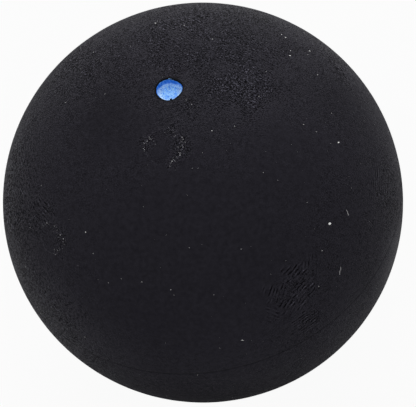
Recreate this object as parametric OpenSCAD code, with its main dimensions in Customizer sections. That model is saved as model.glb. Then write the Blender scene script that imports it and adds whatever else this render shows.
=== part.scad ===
// Squash ball: two thick rubber half-shells cemented rim to rim round a sealed air space,
// with a small blue speed dot laid in a dimple at the pole of the upper half.
// The origin is the centre of the ball, +Z runs out through the dot, and the joint
// between the halves lies in the XY plane. Every piece is a profile turned about Z.

/* [Ball] */
// Outside diameter of the finished ball
ball_d = 40; // [36:0.5:44]
// Thickness of the rubber wall
wall_t = 5; // [3.5:0.1:7]

/* [Joint] */
// Thickness of the cement film between the two rims
cement_t = 0.1; // [0.04:0.01:0.4]
// Width of the bevel that buffing leaves on the outer edge of each rim
rim_bevel = 0.05; // [0.02:0.01:0.3]
// How far the cement film stops below the surface of the ball
cement_inset = 0.06; // [0.02:0.01:0.3]
// Radius of the bead of cement that is squeezed out into the cavity
bead_r = 0.5; // [0.3:0.05:1.2]

/* [Dimple] */
// Diameter of the dimple where its wall would meet the ball if its lip were sharp
dimple_d = 2.55; // [2.2:0.05:4.5]
// Depth of the bare dimple at its centre, below the top of the ball
dimple_depth = 0.84; // [0.5:0.02:1]
// Slope of the dimple's wall, in degrees from the ball's axis
dimple_draft = 18; // [5:1:30]
// Radius of the rolled lip round the dimple's mouth
lip_r = 0.1; // [0.04:0.01:0.14]

/* [Speed dot] */
// Thickness of the paint on the floor of the dimple
paint_t = 0.14; // [0.08:0.01:0.2]
// Thickness of the paint on the dimple's wall, where the wall meets the painted floor
paint_wall_t = 0.06; // [0.03:0.01:0.1]
// Radius with which the paint rounds the corner between floor and wall
paint_corner_r = 0.12; // [0.05:0.01:0.18]
// Bare wall left between the feathered edge of the paint and the lip
paint_margin = 0.04; // [0.02:0.01:0.08]

/* [Hidden] */
$fn = 180;
// Room that a cutting shape takes past the surface that it cuts
overrun = 1;
// Share of its radius by which a rounding reaches past the surfaces that it joins, so that
// they cross instead of just touching
rounding_share = 0.01;

ball_r = ball_d / 2;
cavity_r = ball_r - wall_t;

// Height of each flat rim above or below the plane of the joint
rim_z = cement_t / 2;
// Radius at which a flat rim would meet the outside of the ball
rim_r = sqrt(pow(ball_r, 2) - pow(rim_z, 2));

// Directions in the dimple's section: up its wall, and from the hollow into the rubber
wall_up = [sin(dimple_draft), cos(dimple_draft)];
wall_in = [cos(dimple_draft), -sin(dimple_draft)];

// Corner between the dimple's floor and its wall
dimple_r = dimple_d / 2;
mouth_z = sqrt(pow(ball_r, 2) - pow(dimple_r, 2));
floor_z = ball_r - dimple_depth;
floor_corner = [dimple_r - (mouth_z - floor_z) * tan(dimple_draft), floor_z];

// The lip is an arc that rolls from the wall to the surface of the ball. Its centre lies
// the same depth inside the rubber from both.
lip_deep = lip_r * (1 - rounding_share);
lip_start = floor_corner + lip_deep * wall_in;
lip_rise = sqrt(pow(lip_start * wall_up, 2) - lip_start * lip_start + pow(ball_r - lip_deep, 2))
    - lip_start * wall_up;
lip_centre = lip_start + lip_rise * wall_up;
lip_out = lip_centre / norm(lip_centre);
wall_top = lip_centre - lip_deep * wall_in;

// Section of the paint: its corner, its feathered edge on the wall, and the fillet between
paint_corner = [floor_corner[0] + paint_t * tan(dimple_draft) - paint_wall_t, floor_z + paint_t];
paint_edge = wall_top - paint_margin * wall_up;
paint_up = (paint_edge - paint_corner) / norm(paint_edge - paint_corner);
fillet_high = paint_corner_r * (1 - rounding_share);
fillet_reach = fillet_high / tan(acos(-paint_up[0]) / 2);
fillet_centre = paint_corner + [-fillet_reach, fillet_high];

// Corner that buffing takes off the outer edge of a rim
module rim_bevel_profile() {
    polygon([
        [rim_r - rim_bevel, rim_z],
        [rim_r - rim_bevel, rim_z - overrun],
        [rim_r + overrun, rim_z - overrun],
        [rim_r + overrun, rim_z + rim_bevel + overrun],
    ]);
}

// Section of the thick wall from the rim to the pole, on the +Z side of the joint
module half_wall_profile() {
    difference() {
        intersection() {
            circle(ball_r);
            translate([0, rim_z]) square([ball_r, ball_r]);
        }
        circle(cavity_r);
        rim_bevel_profile();
    }
}

// Section of what the dimple takes away: flat floor, drafted wall and rolled lip
module dimple_profile() {
    difference() {
        polygon([
            [0, floor_z],
            floor_corner,
            wall_top,
            lip_centre,
            lip_centre + (lip_r + overrun) * lip_out,
            [0, ball_r + overrun],
        ]);
        translate(lip_centre) circle(lip_r);
    }
}

// Section of the air above the paint, with the rounded corner
module paint_hollow_profile() {
    polygon([
        [0, paint_corner[1]],
        paint_corner - [fillet_reach, 0],
        paint_corner + fillet_reach * paint_up,
        paint_edge,
        paint_edge + overrun * wall_up,
        [0, ball_r + overrun],
    ]);
    translate(fillet_centre) circle(paint_corner_r);
}

// Section of the paint: a cup that covers the floor and thins out as it climbs the wall
module paint_profile() {
    difference() {
        polygon([[0, floor_z], floor_corner, paint_edge, [0, paint_edge[1]]]);
        paint_hollow_profile();
    }
}

// Section of the cement: a thin film between the rims, and the bead inside the cavity
module cement_profile() {
    translate([cavity_r - rim_z, -rim_z])
        square([rim_r - cement_inset - cavity_r + rim_z, cement_t]);
    intersection() {
        translate([cavity_r, 0]) circle(bead_r);
        circle(cavity_r);
    }
}

// The half that is moulded with the dimple
module dotted_half_shell() {
    color("#2b2a30") rotate_extrude() difference() {
        half_wall_profile();
        dimple_profile();
    }
}

// The half with an unbroken outside
module plain_half_shell() {
    color("#26252b") mirror([0, 0, 1]) rotate_extrude() half_wall_profile();
}

// The layer that bonds the two buffed rims
module seam_cement() {
    color("#17161a") rotate_extrude() cement_profile();
}

// The paint that marks how lively the ball is
module speed_dot() {
    color("#6ea8ee") rotate_extrude() paint_profile();
}

dotted_half_shell();
plain_half_shell();
seam_cement();
speed_dot();
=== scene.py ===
import math

import bpy
from mathutils import Matrix, Vector


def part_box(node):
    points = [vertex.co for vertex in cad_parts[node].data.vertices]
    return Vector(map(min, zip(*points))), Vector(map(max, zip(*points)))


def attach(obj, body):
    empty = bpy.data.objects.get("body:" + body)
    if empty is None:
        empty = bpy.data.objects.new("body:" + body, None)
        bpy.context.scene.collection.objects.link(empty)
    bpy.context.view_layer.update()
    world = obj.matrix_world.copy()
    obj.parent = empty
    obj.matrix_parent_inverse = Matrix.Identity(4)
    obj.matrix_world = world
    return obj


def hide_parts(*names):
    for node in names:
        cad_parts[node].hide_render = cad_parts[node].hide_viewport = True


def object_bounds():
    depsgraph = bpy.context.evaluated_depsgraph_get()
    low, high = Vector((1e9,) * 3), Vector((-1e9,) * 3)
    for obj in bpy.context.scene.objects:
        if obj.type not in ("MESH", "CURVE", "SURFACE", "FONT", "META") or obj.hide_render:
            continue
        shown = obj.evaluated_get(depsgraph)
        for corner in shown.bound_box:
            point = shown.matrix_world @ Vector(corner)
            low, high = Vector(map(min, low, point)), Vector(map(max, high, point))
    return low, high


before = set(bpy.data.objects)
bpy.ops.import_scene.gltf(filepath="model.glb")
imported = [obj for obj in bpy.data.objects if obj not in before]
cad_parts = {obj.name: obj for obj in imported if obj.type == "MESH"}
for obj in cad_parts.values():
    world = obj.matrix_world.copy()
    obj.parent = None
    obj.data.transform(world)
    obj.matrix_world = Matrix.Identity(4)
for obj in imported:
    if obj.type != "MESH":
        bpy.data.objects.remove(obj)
cad_low, cad_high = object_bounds()


# Camera. It looks down on the ball from well above the horizon, rolled a little to one side,
# from so far off that the ball nearly fills the frame. Pixels are those of the photograph.
FRAME_WIDTH_PX = 416
FRAME_HEIGHT_PX = 407
BALL_CENTRE_PX = Vector((203.0, 202.5))
BALL_RADIUS_PX = 200.7
CAMERA_DISTANCE = 0.45
CAMERA_ELEVATION = math.radians(55.1)
CAMERA_ROLL = math.radians(16.75)
SENSOR_WIDTH = 36.0

ball_r = cad_high.x
focal_px = BALL_RADIUS_PX / math.tan(math.asin(ball_r / CAMERA_DISTANCE))
camera_back = Vector((0, -math.cos(CAMERA_ELEVATION), math.sin(CAMERA_ELEVATION)))
level_up = Vector((0, math.sin(CAMERA_ELEVATION), math.cos(CAMERA_ELEVATION)))
level_right = Vector((1, 0, 0))
camera_up = math.cos(CAMERA_ROLL) * level_up + math.sin(CAMERA_ROLL) * level_right
camera_right = math.cos(CAMERA_ROLL) * level_right - math.sin(CAMERA_ROLL) * level_up

camera_data = bpy.data.cameras.new("photo_camera")
camera_data.sensor_width = SENSOR_WIDTH
camera_data.lens = focal_px * SENSOR_WIDTH / FRAME_WIDTH_PX
camera_data.shift_x = (FRAME_WIDTH_PX / 2 - BALL_CENTRE_PX.x) / FRAME_WIDTH_PX
camera_data.shift_y = (BALL_CENTRE_PX.y - FRAME_HEIGHT_PX / 2) / FRAME_WIDTH_PX
camera = bpy.data.objects.new("photo_camera", camera_data)
camera.matrix_world = (
    Matrix.Translation(CAMERA_DISTANCE * camera_back)
    @ Matrix((camera_right, camera_up, camera_back)).transposed().to_4x4()
)
bpy.context.scene.collection.objects.link(camera)
bpy.context.scene.camera = camera


# Dotted half-shell. A thick cup of black rubber, compression moulded with a small dimple at its
# pole, buffed on its rim, cemented to the other half and tumbled to a fine matt grain. Its
# section is turned about the ball's axis and then given the unevenness of the real surface.
WALL = 0.005
CAVITY_R = ball_r - WALL
RIM_BEVEL = 0.00005
DIMPLE_DRAFT = math.radians(18)
LIP_R = 0.0001
TURNS = 480
FINE_BAND = math.radians(26)
FINE_SPACING = 0.00013
PLAIN_SPACING = 0.00027
SEAM_SPACING = 0.00009
SEAM_BAND = 0.0006
INNER_SPACING = 0.0008
LIP_SPACING = LIP_R / 5
BEVEL_STEPS = 3
RIM_STEPS = 5
DIMPLE_STEPS = 6

rim_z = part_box("dotted_half_shell")[0].z
paint_low, paint_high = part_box("speed_dot")
dimple_floor_z = paint_low.z


def polar(radius, angle):
    """The point (r, z) of a section at an angle from the ball's axis."""
    return Vector((radius * math.sin(angle), radius * math.cos(angle)))


def arc(centre, radius, start, end, spacing):
    """A round stretch of a section, with its first point and without its last."""
    steps = max(2, round(abs(end - start) * radius / spacing))
    return [centre + polar(radius, start + (end - start) * i / steps) for i in range(steps)]


def straight(start, end, steps):
    """A straight stretch of a section, with its first point and without its last."""
    return [start.lerp(end, i / steps) for i in range(steps)]


def bevel_section():
    """The outer and the inner edge of the narrow bevel that buffing leaves on a rim."""
    top = rim_z + RIM_BEVEL
    outer = Vector((math.sqrt(ball_r**2 - top**2), top))
    inner = Vector((math.sqrt(ball_r**2 - rim_z**2) - RIM_BEVEL, rim_z))
    return outer, inner


def rim_section():
    """From the outside of the ball, over the bevel and the flat rim, to the inner pole."""
    outer, inner = bevel_section()
    inner_rim = Vector((math.sqrt(CAVITY_R**2 - rim_z**2), rim_z))
    inner_start = math.acos(rim_z / CAVITY_R)
    points = straight(outer, inner, BEVEL_STEPS)
    points += straight(inner, inner_rim, RIM_STEPS)
    points += arc(Vector((0, 0)), CAVITY_R, inner_start, 0, INNER_SPACING)
    points.append(Vector((0, CAVITY_R)))
    return points


def outside_section(start):
    """The outside of the ball from an angle at the pole to the bevel, closer set at the seam."""
    axis = Vector((0, 0))
    seam_start = math.acos(SEAM_BAND / ball_r)
    seam_end = math.acos((rim_z + RIM_BEVEL) / ball_r)
    fine_end = max(start, FINE_BAND)
    points = arc(axis, ball_r, start, fine_end, FINE_SPACING) if fine_end > start else []
    points += arc(axis, ball_r, fine_end, seam_start, PLAIN_SPACING)
    points += arc(axis, ball_r, seam_start, seam_end, SEAM_SPACING)
    return points


def wall_directions():
    """The directions up the dimple's wall, and from the hollow into the rubber."""
    wall_up = Vector((math.sin(DIMPLE_DRAFT), math.cos(DIMPLE_DRAFT)))
    wall_in = Vector((math.cos(DIMPLE_DRAFT), -math.sin(DIMPLE_DRAFT)))
    return wall_up, wall_in


def dimple_corners():
    """The corner of the dimple's floor, the top of its wall, and the centre of its lip."""
    wall_up, wall_in = wall_directions()
    wall_run = (paint_high.z - dimple_floor_z) * math.tan(DIMPLE_DRAFT)
    corner = Vector((paint_high.x - wall_run, dimple_floor_z))
    start = corner + LIP_R * wall_in
    along = start.dot(wall_up)
    rise = math.sqrt(along**2 - start.length_squared + (ball_r - LIP_R) ** 2) - along
    centre = start + rise * wall_up
    return corner, centre - LIP_R * wall_in, centre


def dimple_section():
    """The dimple's floor, its sloping wall and its rolled lip, and the angle where that ends."""
    corner, wall_top, centre = dimple_corners()
    wall_in = wall_directions()[1]
    lip_start = math.atan2(-wall_in.x, -wall_in.y)
    lip_end = math.atan2(centre.x, centre.y)
    points = straight(Vector((0, dimple_floor_z)), corner, DIMPLE_STEPS)
    points += straight(corner, wall_top, DIMPLE_STEPS)
    points += arc(centre, LIP_R, lip_start, lip_end, LIP_SPACING)
    return points, lip_end


def put(tree, kind, feeds=None, **options):
    """Adds a node, sets its options and gives its named inputs a value or a link."""
    node = tree.nodes.new(kind)
    for name, value in options.items():
        setattr(node, name, value)
    for name, value in (feeds or {}).items():
        if isinstance(value, bpy.types.NodeSocket):
            tree.links.new(value, node.inputs[name])
        else:
            node.inputs[name].default_value = value
    return node


def maths(tree, operation, first, second=0.0, third=0.0):
    """The result of one sum on numbers or links."""
    feeds = {0: first, 1: second, 2: third}
    return put(tree, "ShaderNodeMath", feeds, operation=operation).outputs[0]


def vectors(tree, operation, first, second=None, scale=None):
    """The result of one sum on vectors, as a vector or, for a length or a product, a number."""
    feeds = {0: first}
    if second is not None:
        feeds[1] = second
    if scale is not None:
        feeds["Scale"] = scale
    node = put(tree, "ShaderNodeVectorMath", feeds, operation=operation)
    return node.outputs["Value" if operation in {"LENGTH", "DISTANCE", "DOT_PRODUCT"} else "Vector"]


def ramp(tree, value, low, high):
    """A soft step from 0 at low to 1 at high, which may lie below low."""
    feeds = {"Value": value, "From Min": low, "From Max": high}
    step = put(tree, "ShaderNodeMapRange", feeds, interpolation_type="SMOOTHSTEP")
    return step.outputs["Result"]


def noise(tree, place, size, detail=1.0, seed=0.0):
    """Smooth noise from about -1 to 1 whose lumps are about size across."""
    moved = vectors(tree, "ADD", place, (seed, seed, seed))
    scale = maths(tree, "DIVIDE", 1.0, size)
    feeds = {"Vector": moved, "Scale": scale, "Detail": detail}
    field = put(tree, "ShaderNodeTexNoise", feeds).outputs["Fac"]
    return maths(tree, "MULTIPLY_ADD", field, 2.0, -1.0)


def jumble(tree, place, size, detail=1.0):
    """Smooth noise in three directions, each from about -0.5 to 0.5."""
    scale = maths(tree, "DIVIDE", 1.0, size)
    feeds = {"Vector": place, "Scale": scale, "Detail": detail}
    field = put(tree, "ShaderNodeTexNoise", feeds).outputs["Color"]
    return vectors(tree, "SUBTRACT", field, (0.5, 0.5, 0.5))


def new_group(name, kind, inputs, outputs):
    """An empty node group with named sockets, and its input and output nodes."""
    group = bpy.data.node_groups.new(name, kind)
    for label, (socket_kind, value) in inputs.items():
        socket = group.interface.new_socket(label, in_out="INPUT", socket_type=socket_kind)
        if value is not None:
            socket.default_value = value
    for label, socket_kind in outputs.items():
        group.interface.new_socket(label, in_out="OUTPUT", socket_type=socket_kind)
    return group, group.nodes.new("NodeGroupInput").outputs, group.nodes.new("NodeGroupOutput").inputs


NUMBER = "NodeSocketFloat"
VECTOR = "NodeSocketVector"
COUNT = "NodeSocketInt"
MESH = "NodeSocketGeometry"
MATERIAL = "NodeSocketMaterial"
JOIN_DISTANCE = 2e-7


def turning_group():
    """Turns a section, drawn as a line of points in the XZ plane, into a closed skin."""
    inputs = {"Section": (MESH, None), "Turns": (COUNT, TURNS)}
    group, given, made = new_group("turned_on_the_axis", "GeometryNodeTree", inputs, {"Skin": MESH})
    section = given["Section"]
    turns = given["Turns"]
    points = put(group, "GeometryNodeAttributeDomainSize", {"Geometry": section}).outputs["Point Count"]
    columns = maths(group, "ADD", turns, 1.0)
    grid = put(group, "GeometryNodeMeshGrid", {"Vertices X": points, "Vertices Y": columns})
    index = put(group, "GeometryNodeInputIndex").outputs[0]
    row = maths(group, "FLOOR", maths(group, "DIVIDE", maths(group, "ADD", index, 0.5), columns))
    column = maths(group, "SUBTRACT", index, maths(group, "MULTIPLY", row, columns))
    place = put(group, "GeometryNodeInputPosition").outputs[0]
    feeds = {"Geometry": section, "Value": place, "Index": row}
    drawn = put(group, "GeometryNodeSampleIndex", feeds, data_type="FLOAT_VECTOR").outputs[0]
    parts = put(group, "ShaderNodeSeparateXYZ", {0: drawn}).outputs
    angle = maths(group, "DIVIDE", maths(group, "MULTIPLY", column, math.tau), turns)
    across = maths(group, "MULTIPLY", parts["X"], maths(group, "COSINE", angle))
    along = maths(group, "MULTIPLY", parts["X"], maths(group, "SINE", angle))
    feeds = {"X": across, "Y": along, "Z": parts["Z"]}
    turned_place = put(group, "ShaderNodeCombineXYZ", feeds).outputs[0]
    feeds = {"Geometry": grid.outputs["Mesh"], "Position": turned_place}
    skin = put(group, "GeometryNodeSetPosition", feeds).outputs[0]
    feeds = {"Geometry": skin, "Distance": JOIN_DISTANCE}
    skin = put(group, "GeometryNodeMergeByDistance", feeds).outputs[0]
    group.links.new(skin, made["Skin"])
    return group


# How far the real ball is from a perfect one: out of round, slightly lumpy from the mould,
# pebbled by tumbling and sunk a little along the seam, with a dimple whose mouth has soft
# corners. Nothing stands proud of the true ball.
OUT_OF_ROUND = 0.00008
OUT_OF_ROUND_SIZE = 0.024
LUMP_DEPTH = 0.00002
LUMP_SIZE = 0.0045
PEBBLE_DEPTH = 0.000012
PEBBLE_SIZE = 0.0011
SEAM_DIP = 0.00002
SEAM_DIP_WIDTH = 0.00025
# How many lobes, their share of the mouth's radius, and the direction of one in degrees
DIMPLE_LOBES = [(2, 0.030, -41), (3, 0.030, 2), (4, 0.016, -9)]
DIMPLE_WANDER = 0.00004
WANDER_SIZE = 0.0007
WANDER_FULL = 0.0018
WANDER_END = 0.0034


def relief_group():
    """How far a point of the outside moves from the true ball, as a vector."""
    inputs = {"Place": (VECTOR, None)}
    group, given, made = new_group("ball_relief", "GeometryNodeTree", inputs, {"Move": VECTOR})
    place = given["Place"]
    outward = vectors(group, "NORMALIZE", place)
    spot = vectors(group, "SCALE", outward, scale=ball_r)
    parts = put(group, "ShaderNodeSeparateXYZ", {0: spot}).outputs
    at_seam = ramp(group, maths(group, "ABSOLUTE", parts["Z"]), SEAM_DIP_WIDTH, 0.0)
    terms = [
        (OUT_OF_ROUND, OUT_OF_ROUND_SIZE, 0.0, 1.0),
        (LUMP_DEPTH, LUMP_SIZE, 0.3, 1.0),
        (PEBBLE_DEPTH, PEBBLE_SIZE, 0.7, 1.0),
        (SEAM_DIP, LUMP_SIZE, 0.9, at_seam),
    ]
    depth = 0.0
    for deep, size, seed, share in terms:
        lump = maths(group, "MULTIPLY_ADD", noise(group, spot, size, seed=seed), 0.5, 0.5)
        depth = maths(group, "MULTIPLY_ADD", maths(group, "MULTIPLY", lump, share), deep, depth)
    inward = vectors(group, "SCALE", outward, scale=maths(group, "MULTIPLY", depth, -1.0))
    sideways = vectors(group, "MULTIPLY", place, (1, 1, 0))
    turn = maths(group, "ARCTAN2", parts["Y"], parts["X"])
    stretch = 0.0
    for lobes, share, direction in DIMPLE_LOBES:
        lobe = maths(group, "MULTIPLY_ADD", turn, lobes, -lobes * math.radians(direction))
        stretch = maths(group, "MULTIPLY_ADD", maths(group, "COSINE", lobe), share, stretch)
    wander = vectors(group, "MULTIPLY", jumble(group, sideways, WANDER_SIZE), (2, 2, 0))
    wander = vectors(group, "SCALE", wander, scale=DIMPLE_WANDER)
    shaped = vectors(group, "ADD", vectors(group, "SCALE", sideways, scale=stretch), wander)
    near = ramp(group, vectors(group, "LENGTH", sideways), WANDER_END, WANDER_FULL)
    near = maths(group, "MULTIPLY", near, ramp(group, parts["Z"], 0.0, ball_r / 2))
    move = vectors(group, "ADD", inward, vectors(group, "SCALE", shaped, scale=near))
    outer = ramp(group, vectors(group, "LENGTH", place), ball_r - WALL / 2, ball_r - WALL / 4)
    group.links.new(vectors(group, "SCALE", move, scale=outer), made["Move"])
    return group


turned_on_the_axis = turning_group()
ball_relief = relief_group()


def relieved(tree, skin):
    """A skin, or points on it, moved by the ball's relief."""
    place = put(tree, "GeometryNodeInputPosition").outputs[0]
    move = put(tree, "GeometryNodeGroup", {"Place": place}, node_tree=ball_relief)
    return put(tree, "GeometryNodeSetPosition", {"Geometry": skin, "Offset": move.outputs[0]}).outputs[0]


def finished(tree, skin, material, made):
    """Ends a tree: the skin is made real and gets its material."""
    skin = put(tree, "GeometryNodeRealizeInstances", {"Geometry": skin}).outputs[0]
    skin = put(tree, "GeometryNodeSetMaterial", {"Geometry": skin, "Material": material}).outputs[0]
    tree.links.new(skin, made["Skin"])


def turned_tree():
    """Turns a section into a skin, and gives it the ball's relief, ripples and its material."""
    inputs = {
        "Section": (MESH, None),
        "Turns": (COUNT, TURNS),
        "Ripple": (NUMBER, 0.0),
        "Ripple size": (NUMBER, 0.0003),
        "Material": (MATERIAL, None),
    }
    tree, given, made = new_group("turned_and_relieved", "GeometryNodeTree", inputs, {"Skin": MESH})
    feeds = {"Section": given["Section"], "Turns": given["Turns"]}
    skin = put(tree, "GeometryNodeGroup", feeds, node_tree=turned_on_the_axis).outputs[0]
    place = put(tree, "GeometryNodeInputPosition").outputs[0]
    normal = put(tree, "GeometryNodeInputNormal").outputs[0]
    ripple = noise(tree, place, given["Ripple size"], detail=2.0)
    ripple = maths(tree, "MULTIPLY", ripple, given["Ripple"])
    offset = vectors(tree, "SCALE", normal, scale=ripple)
    skin = put(tree, "GeometryNodeSetPosition", {"Geometry": skin, "Offset": offset}).outputs[0]
    skin = relieved(tree, skin)
    skin = put(tree, "GeometryNodeSetShadeSmooth", {"Geometry": skin}).outputs[0]
    finished(tree, skin, given["Material"], made)
    return tree


def grown(name, points, edges, tree, sizes=None, **values):
    """A plain mesh that a tree grows from points and edges. It rides on the ball's one body."""
    seed_mesh = bpy.data.meshes.new(name)
    seed_mesh.from_pydata([tuple(p) for p in points], edges, [])
    if sizes:
        seed_mesh.attributes.new("size", "FLOAT", "POINT").data.foreach_set("value", sizes)
    piece = bpy.data.objects.new(name, seed_mesh)
    bpy.context.scene.collection.objects.link(piece)
    modifier = piece.modifiers.new("grow", "NODES")
    modifier.node_group = tree
    sockets = {s.name: s.identifier for s in tree.interface.items_tree if s.in_out == "INPUT"}
    for label, value in values.items():
        modifier[sockets[label.replace("_", " ").capitalize()]] = value
    evaluated = piece.evaluated_get(bpy.context.evaluated_depsgraph_get())
    mesh = bpy.data.meshes.new_from_object(evaluated)
    piece.modifiers.remove(modifier)
    piece.data = mesh
    bpy.data.meshes.remove(seed_mesh)
    mesh.name = name
    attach(piece, "root")
    return piece


turned_and_relieved = turned_tree()


def turned(name, section, material, upside_down=False, **values):
    """A piece turned from its section, which is mirrored for the half below the joint."""
    side = -1 if upside_down else 1
    points = [(p.x, 0, side * p.y) for p in section]
    if upside_down:
        points.reverse()
    edges = [(i, i + 1) for i in range(len(points) - 1)]
    return grown(name, points, edges, turned_and_relieved, material=material, **values)


# The rubber. Carbon black in butyl, faintly violet, with the fine grain that tumbling leaves: its
# pits stay black and its crests are rubbed pale, and the highest crests carry painted glints. Some
# patches are rougher, coarser or rubbed smooth, others are painted paler or darker as light and
# shade, and inside the dimple the rubber is as smooth as the mould left it and darker, partly as
# unworn rubber and partly as painted shade.
RUBBER_PIT = (0.0019, 0.0016, 0.0029, 1)
RUBBER_CREST = (0.0272, 0.0257, 0.0345, 1)
# Painted glint: the highest crests take this far paler colour, as highlights on the grain.
RUBBER_PAINTED_GLINT = (0.134, 0.130, 0.170, 1)
# Painted shade: round the dimple's lip the rubber is coloured darker still, partly as unworn moulded
# rubber and partly as the recess's shade.
RUBBER_MOULDED_AND_SHADED = (0.0012, 0.0012, 0.0018, 1)
GRAIN_SIZE = 0.00012
GRAIN_DEPTH = 0.00010
GRAIN_SPAN = 0.42
# Painted light: where the grain is strong its crests are coloured paler, making up for the shade its bump
# throws.
GRAIN_PAINTED_LIGHT = 0.12
GRAIN_FLOW = 1.5
FLOW_GRAINS = 4.0
LUMP_SHARE = 1.2
CREASE_GRAINS = 2.0
CREASE_SHARE = 0.5
CREASE_LEVEL = -0.10
PATCH_SIZE = 0.0024
PATCH_STEP = (-0.4, 0.4)
PATCH_RANGE = (0.65, 1.4)
# Where on the grain's height the painted glints begin and where they are full.
PAINTED_GLINT_FROM = 0.42
PAINTED_GLINT_FULL = 1.1
STAIN_SIZE = 0.00045
STAIN_SHARE = 0.13
CLOUD_SIZE = 0.007
CLOUD_ROUGH = 0.06
PLAIN_STRENGTH = 0.34
SMOOTH_CORE_SHARE = 0.4
# Each patch has its middle in photograph pixels and its reach in metres. Then comes the share of
# the grain that is kept at its middle or, in the other three lists, how much is added there.
SMOOTH_PATCHES = [
    ((190, 270), 0.0150, 0.15),
    ((200, 388), 0.0110, 0.6),
    ((285, 165), 0.0060, 0.5),
    ((118, 112), 0.0065, 0.5),
]
ROUGH_PATCHES = [
    ((243, 87), 0.0042, 2.2),
    ((210, 28), 0.0150, 1.35),
    ((74, 74), 0.0080, 1.0),
    ((332, 50), 0.0050, 0.9),
    ((6, 196), 0.0110, 1.15),
    ((392, 200), 0.0080, 0.5),
    ((45, 318), 0.0100, 1.3),
    ((34, 212), 0.0030, 0.5),
    ((147, 142), 0.0011, 1.2),
    ((181, 147), 0.0015, 1.3),
    ((172, 131), 0.0009, 0.9),
    ((172, 162), 0.0011, 1.2),
    ((58, 234), 0.0016, 1.3),
    ((48, 212), 0.0016, 1.0),
    ((296, 290), 0.0034, 0.7),
    ((305, 322), 0.0026, 0.5),
    ((191, 105), 0.0016, 0.5),
]
COARSE_GRAIN_SIZE = 0.00026
COARSE_PATCHES = [
    ((5, 190), 0.0110, 1.25),
    ((205, 12), 0.0120, 0.8),
    ((66, 66), 0.0075, 0.8),
    ((334, 62), 0.0050, 0.7),
    ((46, 312), 0.0090, 0.8),
    ((398, 190), 0.0070, 0.35),
]
# These patches are painted light and shade: paler ones, most at the left and right edges of the ball,
# stand in for sheen and light there, and darker ones, most at the bottom edge and the upper left, stand
# in for shade.
PAINTED_LIGHT_AND_SHADE_PATCHES = [
    ((243, 88), 0.0045, 0.16),
    ((108, 100), 0.0085, -0.10),
    ((335, 95), 0.0060, -0.06),
    ((52, 316), 0.0080, 0.18),
    ((110, 348), 0.0050, 0.04),
    ((345, 320), 0.0060, 0.05),
    ((240, 350), 0.0100, 0.05),
    ((203, 401), 0.0085, -0.13),
    ((130, 386), 0.0060, -0.06),
    ((276, 388), 0.0070, -0.08),
    ((394, 253), 0.0060, 0.22),
    ((394, 152), 0.0050, 0.06),
    ((12, 253), 0.0055, 0.16),
    ((12, 152), 0.0050, 0.08),
    ((66, 66), 0.0065, -0.09),
    ((164, 146), 0.0026, -0.04),
]
LIP_REACH = (0.00133, 0.00155)
CREST_POLISH = 0.45
RUBBER_ROUGH = 0.57
RUBBER_GLOSS = 0.05


def place_on_ball(pixel):
    """The place on the ball that a pixel of the photograph shows."""
    across = (pixel[0] - BALL_CENTRE_PX.x) / focal_px
    down = (pixel[1] - BALL_CENTRE_PX.y) / focal_px
    ray = (across * camera_right - down * camera_up - camera_back).normalized()
    start = CAMERA_DISTANCE * camera_back
    nearest = -start.dot(ray)
    reach = math.sqrt(nearest**2 - start.length_squared + ball_r**2)
    return start + (nearest - reach) * ray


def grain_group():
    """The grain of tumbled rubber, as a height from about -1 in its pits to 1 on its crests."""
    inputs = {
        "Place": (VECTOR, None),
        "Grain size": (NUMBER, GRAIN_SIZE),
        "Strength": (NUMBER, 1.0),
    }
    group, given, made = new_group("tumbled_grain", "ShaderNodeTree", inputs, {"Relief": NUMBER})
    place = given["Place"]
    size = given["Grain size"]
    drift = jumble(group, place, maths(group, "MULTIPLY", size, FLOW_GRAINS))
    bent = vectors(group, "SCALE", drift, scale=maths(group, "MULTIPLY", size, GRAIN_FLOW))
    flowing = vectors(group, "ADD", place, bent)
    lumps = maths(group, "MULTIPLY", noise(group, flowing, size), LUMP_SHARE)
    crease_size = maths(group, "MULTIPLY", size, CREASE_GRAINS)
    creases = maths(group, "ABSOLUTE", noise(group, flowing, crease_size, seed=0.4))
    creases = maths(group, "MULTIPLY_ADD", creases, CREASE_SHARE, CREASE_LEVEL)
    patches = ramp(group, noise(group, place, PATCH_SIZE, detail=2.0, seed=0.8), *PATCH_STEP)
    weakest, strongest = PATCH_RANGE
    strength = maths(group, "MULTIPLY_ADD", patches, strongest - weakest, weakest)
    strength = maths(group, "MULTIPLY", strength, given["Strength"])
    relief = maths(group, "MULTIPLY", maths(group, "ADD", lumps, creases), strength)
    group.links.new(relief, made["Relief"])
    return group


# Buffing strokes. The wheel leaves broken parallel strokes in ragged patches. Each patch has its
# middle and a point further along its strokes, in photograph pixels, then its reach and the
# spacing of its strokes, in metres, and their strength.
STROKE_PATCHES = [
    ((297, 275), (304, 267), 0.0016, 0.00041, 0.66),
    ((304, 290), (311, 282), 0.0018, 0.00041, 0.72),
    ((292, 306), (298, 297), 0.0016, 0.00042, 0.70),
    ((276, 293), (279, 285), 0.0013, 0.00038, 0.60),
    ((309, 265), (309, 257), 0.0015, 0.00038, 0.30),
    ((306, 322), (313, 317), 0.0020, 0.00036, 0.62),
    ((274, 315), (282, 317), 0.0013, 0.00036, 0.40),
    ((42, 213), (48, 220), 0.0020, 0.00038, 0.65),
    ((20, 178), (23, 190), 0.0044, 0.00048, 0.25),
    ((385, 188), (385, 200), 0.0036, 0.00042, 0.5),
    ((178, 28), (187, 33), 0.0044, 0.00034, 0.5),
    ((248, 62), (257, 66), 0.0044, 0.00034, 0.4),
]
RAGGED_SIZE = 0.0009
RAGGED_REACH = 0.0012
STROKE_CORE_SHARE = 0.4
BEND_SPACINGS = 4.0
BEND_SHARE = 0.7
STROKE_SHORTNESS = 0.65
BREAK_SPACINGS = 1.1
BREAK_STEP = (-0.15, 0.3)
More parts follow.
